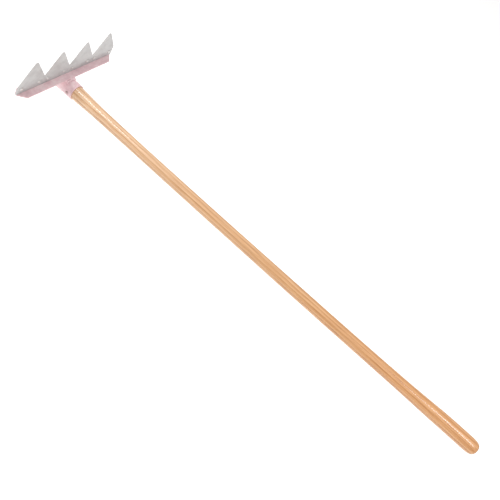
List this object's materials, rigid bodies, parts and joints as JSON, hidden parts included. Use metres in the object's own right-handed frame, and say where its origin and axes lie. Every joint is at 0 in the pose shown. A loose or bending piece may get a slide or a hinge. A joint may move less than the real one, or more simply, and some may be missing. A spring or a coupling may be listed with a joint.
{
  "type": "fire rake",
  "caption": "Long waisted wooden handle in a short steel socket welded under an angle bar that carries a row of pointed steel cutter sections held by rivets.",
  "frame": {"origin": "on the handle's axis, in the middle of the round stretch near its butt, where the rear hand or a rack clip holds it", "axes": "+Y along the handle's axis towards the head, +Z the way the cutter points stand, +X along the angle bar"},
  "size_m": [0.3046, 1.3178, 0.1345],
  "materials": {
    "varnished_ash": "clear varnish, satin gloss, fine straight grain along the handle",
    "red_enamel": "sun-faded red enamel over rolled steel, thin on the edges",
    "cutter_steel": "ground spring steel, satin, with bright ground bevels",
    "rivet_steel": "plain steel, hammered round heads"
  },
  "bodies": {
    "root": {"handle": "varnished_ash", "socket": "red_enamel", "angle_bar": "red_enamel", "weld_bead": "red_enamel", "handle_rivet": "rivet_steel", "section_rivets": "rivet_steel", "section_1": "cutter_steel", "section_2": "cutter_steel", "section_3": "cutter_steel", "section_4": "cutter_steel"}
  },
  "joints": []
}
